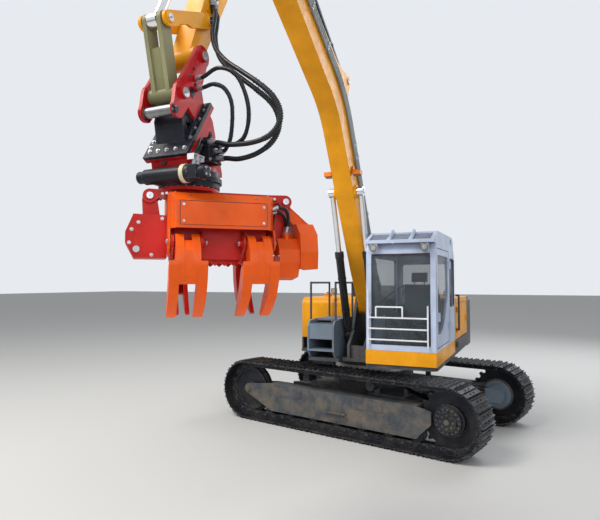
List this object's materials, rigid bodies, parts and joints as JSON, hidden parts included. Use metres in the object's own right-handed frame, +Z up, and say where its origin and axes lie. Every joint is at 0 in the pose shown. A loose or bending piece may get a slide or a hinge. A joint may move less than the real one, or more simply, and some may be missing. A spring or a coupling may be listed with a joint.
{
  "type": "tracked forestry harvester",
  "caption": "Tracked forestry harvester with a slewing upper body, cab, raised boom and stick, quick hitch, slew drive and a rotating grapple saw head with curved arms",
  "frame": {"origin": "On the slew axis, at the underside of the belly plate's swivel port; the ground is 0.46 m below it", "axes": "+X is forward along the boom, +Y is to the operator's left, +Z is up"},
  "size_m": [8.3735, 4.8604, 6.6713],
  "materials": {
    "chassis_grey": "satin",
    "track_steel": "worn",
    "motor_blue_grey": "satin",
    "ring_steel": "machined",
    "machine_yellow": "satin",
    "counterweight_grey": "painted satin",
    "engine_grey": "painted satin",
    "cab_blue": "satin",
    "clear_glass": "polished",
    "guard_white": "satin",
    "seat_black": "woven",
    "black_plastic": "matte",
    "exhaust_black": "matte",
    "lamp_grey": "clear lens",
    "pipe_grey": "satin",
    "lamp_orange": "satin",
    "cylinder_black": "gloss",
    "rod_chrome": "polished",
    "link_olive": "satin",
    "hitch_red": "satin",
    "drive_black": "painted satin",
    "head_orange": "satin",
    "head_red": "satin",
    "hose_rubber": "matte",
    "bar_steel": "worn"
  },
  "bodies": {
    "undercarriage": {"centre_frame": "chassis_grey", "slew_ring": "ring_steel", "left_track_frame": "chassis_grey", "right_track_frame": "chassis_grey", "left_track": "track_steel", "right_track": "track_steel", "drive_sprockets": "track_steel", "travel_motors": "motor_blue_grey", "idlers": "track_steel", "track_rollers": "track_steel"},
    "upper": {"slewing_platform": "chassis_grey", "counterweight": "counterweight_grey", "engine_block": "engine_grey", "left_housing": "machine_yellow", "right_housing": "machine_yellow", "fuel_tank": "machine_yellow", "front_steps": "motor_blue_grey", "cab_sill": "machine_yellow", "cab_shell": "cab_blue", "cab_glass": "clear_glass", "cab_front_guard": "guard_white", "cab_roof_guard": "cab_blue", "operator_seat": "seat_black", "cab_controls": "black_plastic", "handrails": "chassis_grey", "exhaust_stack": "exhaust_black", "work_lamps": "lamp_grey"},
    "cab_door": {"cab_door": "cab_blue", "cab_door_glass": "clear_glass"},
    "left_service_door": {"left_service_door": "machine_yellow"},
    "right_service_door": {"right_service_door": "machine_yellow"},
    "hood": {"engine_hood": "counterweight_grey"},
    "boom": {"boom": "machine_yellow", "boom_pipes": "pipe_grey", "boom_lamps": "lamp_orange"},
    "boom_barrels": {"boom_barrels": "cylinder_black"},
    "boom_rods": {"boom_rods": "rod_chrome"},
    "stick": {"stick": "machine_yellow"},
    "stick_barrel": {"stick_barrel": "cylinder_black"},
    "stick_rod": {"stick_rod": "rod_chrome"},
    "rocker": {"rocker": "machine_yellow"},
    "link": {"link": "link_olive"},
    "tool_barrel": {"tool_barrel": "cylinder_black"},
    "tool_rod": {"tool_rod": "rod_chrome"},
    "hitch": {"quick_hitch": "hitch_red", "hitch_base": "drive_black", "wedge_adapter": "hitch_red", "slew_drive": "drive_black", "hose_block": "drive_black", "tool_hoses": "hose_rubber"},
    "head": {"head_yoke": "head_red", "head_frame": "head_red", "head_cover": "head_orange", "saw_box": "head_orange"},
    "front_arms": {"front_arms": "head_orange"},
    "rear_arms": {"rear_arms": "head_red"},
    "saw_bar": {"saw_bar": "bar_steel"}
  },
  "joints": [
    {"name": "slew", "type": "hinge", "parent": "undercarriage", "child": "upper", "pos_m": [0, 0, 0.5], "axis": [0, 0, 1], "continuous": true},
    {"name": "cab_door_hinge", "type": "hinge", "parent": "upper", "child": "cab_door", "pos_m": [0.175, 1.264, 0.9], "axis": [0, 0, 1], "range_deg": [0, 105]},
    {"name": "left_service_door_hinge", "type": "hinge", "parent": "upper", "child": "left_service_door", "pos_m": [-0.58, 1.262, 1.1], "axis": [0, 0, -1], "range_deg": [0, 85]},
    {"name": "right_service_door_hinge", "type": "hinge", "parent": "upper", "child": "right_service_door", "pos_m": [-0.88, -1.262, 1.1], "axis": [0, 0, 1], "range_deg": [0, 85]},
    {"name": "hood_hinge", "type": "hinge", "parent": "upper", "child": "hood", "pos_m": [-0.9, 0, 1.53], "axis": [0, 1, 0], "range_deg": [0, 60]},
    {"name": "boom_lift", "type": "hinge", "parent": "upper", "child": "boom", "pos_m": [0.2, 0, 1.42], "axis": [0, -1, 0], "range_deg": [-75, 12]},
    {"name": "boom_barrel_turn", "type": "hinge", "parent": "upper", "child": "boom_barrels", "pos_m": [0.64, 0, 0.97], "axis": [0, -1, 0], "range_deg": [-76, 13]},
    {"name": "boom_rod_slide", "type": "slide", "parent": "boom_barrels", "child": "boom_rods", "axis": [0.3112, 0, 0.9504], "range_m": [-0.74458, 0.12333]},
    {"name": "stick_in", "type": "hinge", "parent": "boom", "child": "stick", "pos_m": [4.1415, 0, 5.54809], "axis": [0, 1, 0], "range_deg": [-75, 40]},
    {"name": "stick_barrel_turn", "type": "hinge", "parent": "boom", "child": "stick_barrel", "pos_m": [1.54435, 0, 4.59439], "axis": [0, 1, 0], "range_deg": [-2.5, 1.8]},
    {"name": "stick_rod_slide", "type": "slide", "parent": "stick_barrel", "child": "stick_rod", "axis": [0.8538, 0, 0.5205], "range_m": [-0.64641, 0.34708]},
    {"name": "tool_curl", "type": "hinge", "parent": "stick", "child": "hitch", "pos_m": [5.11015, 0, 3.51727], "axis": [0, -1, 0], "range_deg": [-38, 80]},
    {"name": "rocker_turn", "type": "hinge", "parent": "stick", "child": "rocker", "pos_m": [4.96461, 0, 3.86886], "axis": [0, -1, 0], "range_deg": [-26.84, 55.4]},
    {"name": "link_turn", "type": "hinge", "parent": "hitch", "child": "link", "pos_m": [5.34435, 0, 3.15664], "axis": [0, -1, 0], "range_deg": [-49, 23.8]},
    {"name": "tool_barrel_turn", "type": "hinge", "parent": "stick", "child": "tool_barrel", "pos_m": [4.64891, 0, 5.41341], "axis": [0, -1, 0], "range_deg": [-4.42, 8.2]},
    {"name": "tool_rod_slide", "type": "slide", "parent": "tool_barrel", "child": "tool_rod", "axis": [0.422, 0, -0.9066], "range_m": [-0.38199, 0.18407]},
    {"name": "rotator", "type": "hinge", "parent": "hitch", "child": "head", "pos_m": [5.05004, 0, 2.5], "axis": [0, 0, 1], "continuous": true},
    {"name": "front_arms_grip", "type": "hinge", "parent": "head", "child": "front_arms", "pos_m": [5.09976, 0.34081, 2.07991], "axis": [0.6691, -0.7431, 0], "range_deg": [-18, 50]},
    {"name": "rear_arms_grip", "type": "hinge", "parent": "head", "child": "rear_arms", "pos_m": [4.70589, -0.01383, 2.07991], "axis": [0.6691, -0.7431, 0], "range_deg": [-51, 19]},
    {"name": "saw_swing", "type": "hinge", "parent": "head", "child": "saw_bar", "pos_m": [4.99944, 0.25048, 2.10991], "axis": [0.6691, -0.7431, 0], "range_deg": [0, 75]}
  ],
  "couplings": [
    {"joint": "boom_barrel_turn", "follows": "boom_lift", "ratio": 1},
    {"joint": "boom_rod_slide", "follows": "boom_lift", "m_per_rad": 0.565},
    {"joint": "stick_barrel_turn", "follows": "stick_in", "ratio": 0.02},
    {"joint": "stick_rod_slide", "follows": "stick_in", "m_per_rad": 0.49},
    {"joint": "rocker_turn", "follows": "tool_curl", "ratio": 0.68},
    {"joint": "link_turn", "follows": "tool_curl", "ratio": -0.6},
    {"joint": "tool_barrel_turn", "follows": "tool_curl", "ratio": 0.09},
    {"joint": "tool_rod_slide", "follows": "tool_curl", "m_per_rad": -0.27},
    {"joint": "rear_arms_grip", "follows": "front_arms_grip", "ratio": -1}
  ]
}
